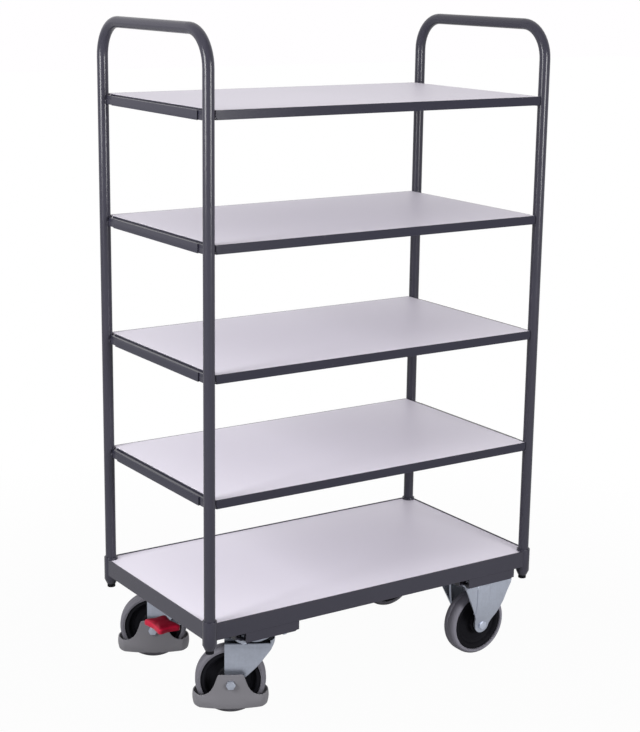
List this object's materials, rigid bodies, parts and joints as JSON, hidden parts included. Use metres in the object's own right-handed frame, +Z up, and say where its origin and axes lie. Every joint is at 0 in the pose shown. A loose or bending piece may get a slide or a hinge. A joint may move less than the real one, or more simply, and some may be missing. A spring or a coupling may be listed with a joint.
{
  "type": "shelf trolley",
  "caption": "Shelf trolley with tubular end frames, hook-in board shelves over a railed deck, swivel casters with foot guards and a central brake pedal, and fixed casters.",
  "frame": {"origin": "on the floor, under the middle of the base", "axes": "+Z up; +X along the trolley from the swivel casters and brake pedal to the fixed casters; -Y front"},
  "size_m": [0.914, 0.5266, 1.5295],
  "materials": {
    "frame_paint": "semi-gloss anthracite powder coat",
    "board": "light grey melamine-coated wood board",
    "zinc": "bright zinc-plated steel",
    "guard_plastic": "moulded grey plastic",
    "tyre": "non-marking grey rubber",
    "wheel_core": "black moulded plastic",
    "black_plastic": "black moulded plastic",
    "pedal_red": "bright red plastic cover"
  },
  "bodies": {
    "trolley": {"left_end_tube": "frame_paint", "left_end_rails": "frame_paint", "left_crossmember": "frame_paint", "right_end_tube": "frame_paint", "right_end_rails": "frame_paint", "right_crossmember": "frame_paint", "shelf_1_board": "board", "shelf_1_edge_angles": "frame_paint", "shelf_1_end_hooks": "frame_paint", "shelf_2_board": "board", "shelf_2_edge_angles": "frame_paint", "shelf_2_end_hooks": "frame_paint", "shelf_3_board": "board", "shelf_3_edge_angles": "frame_paint", "shelf_3_end_hooks": "frame_paint", "shelf_4_board": "board", "shelf_4_edge_angles": "frame_paint", "shelf_4_end_hooks": "frame_paint", "deck_board": "board", "base_front_rail": "frame_paint", "base_rear_rail": "frame_paint", "base_left_rail": "frame_paint", "base_right_rail": "frame_paint", "corner_sleeves": "frame_paint", "sleeve_plugs": "black_plastic", "caster_bolts": "zinc", "caster_nuts": "zinc", "front_swivel_plate": "zinc", "front_ball_race": "zinc", "front_kingpin": "zinc", "front_fixed_bracket": "zinc", "front_fixed_axle": "zinc", "rear_swivel_plate": "zinc", "rear_ball_race": "zinc", "rear_kingpin": "zinc", "rear_fixed_bracket": "zinc", "rear_fixed_axle": "zinc", "shaft_bearings": "zinc"},
    "brake": {"brake_shaft": "zinc", "brake_pedal": "pedal_red"},
    "front_swivel": {"front_fork": "zinc", "front_foot_guard": "guard_plastic", "front_swivel_axle": "zinc"},
    "front_plunger": {"front_brake_plunger": "zinc"},
    "front_swivel_wheel": {"front_swivel_wheel_core": "wheel_core", "front_swivel_wheel_tyre": "tyre", "front_swivel_wheel_bearings": "zinc"},
    "front_fixed_wheel": {"front_fixed_wheel_core": "wheel_core", "front_fixed_wheel_tyre": "tyre", "front_fixed_wheel_bearings": "zinc"},
    "rear_swivel": {"rear_fork": "zinc", "rear_foot_guard": "guard_plastic", "rear_swivel_axle": "zinc"},
    "rear_plunger": {"rear_brake_plunger": "zinc"},
    "rear_swivel_wheel": {"rear_swivel_wheel_core": "wheel_core", "rear_swivel_wheel_tyre": "tyre", "rear_swivel_wheel_bearings": "zinc"},
    "rear_fixed_wheel": {"rear_fixed_wheel_core": "wheel_core", "rear_fixed_wheel_tyre": "tyre", "rear_fixed_wheel_bearings": "zinc"}
  },
  "joints": [
    {"name": "front_swivel_turn", "type": "hinge", "parent": "trolley", "child": "front_swivel", "pos_m": [-0.295, -0.184, 0.173], "axis": [0, 0, 1], "continuous": true},
    {"name": "front_swivel_wheel_spin", "type": "hinge", "parent": "front_swivel", "child": "front_swivel_wheel", "pos_m": [-0.34176, -0.157, 0.08], "axis": [0.5, 0.866, 0], "continuous": true},
    {"name": "front_fixed_wheel_spin", "type": "hinge", "parent": "trolley", "child": "front_fixed_wheel", "pos_m": [0.335, -0.184, 0.08], "axis": [0, 1, 0], "continuous": true},
    {"name": "rear_swivel_turn", "type": "hinge", "parent": "trolley", "child": "rear_swivel", "pos_m": [-0.295, 0.184, 0.173], "axis": [0, 0, 1], "continuous": true},
    {"name": "rear_swivel_wheel_spin", "type": "hinge", "parent": "rear_swivel", "child": "rear_swivel_wheel", "pos_m": [-0.34176, 0.211, 0.08], "axis": [0.5, 0.866, 0], "continuous": true},
    {"name": "rear_fixed_wheel_spin", "type": "hinge", "parent": "trolley", "child": "rear_fixed_wheel", "pos_m": [0.335, 0.184, 0.08], "axis": [0, 1, 0], "continuous": true},
    {"name": "brake_press", "type": "hinge", "parent": "trolley", "child": "brake", "pos_m": [-0.295, 0, 0.219], "axis": [0, -1, 0], "range_deg": [0, 14]},
    {"name": "front_plunger_travel", "type": "slide", "parent": "trolley", "child": "front_plunger", "axis": [0, 0, -1], "range_m": [0, 0.0025]},
    {"name": "rear_plunger_travel", "type": "slide", "parent": "trolley", "child": "rear_plunger", "axis": [0, 0, -1], "range_m": [0, 0.0025]}
  ],
  "couplings": [
    {"joint": "front_plunger_travel", "follows": "brake_press", "m_per_rad": 0.0101},
    {"joint": "rear_plunger_travel", "follows": "brake_press", "m_per_rad": 0.0101}
  ]
}
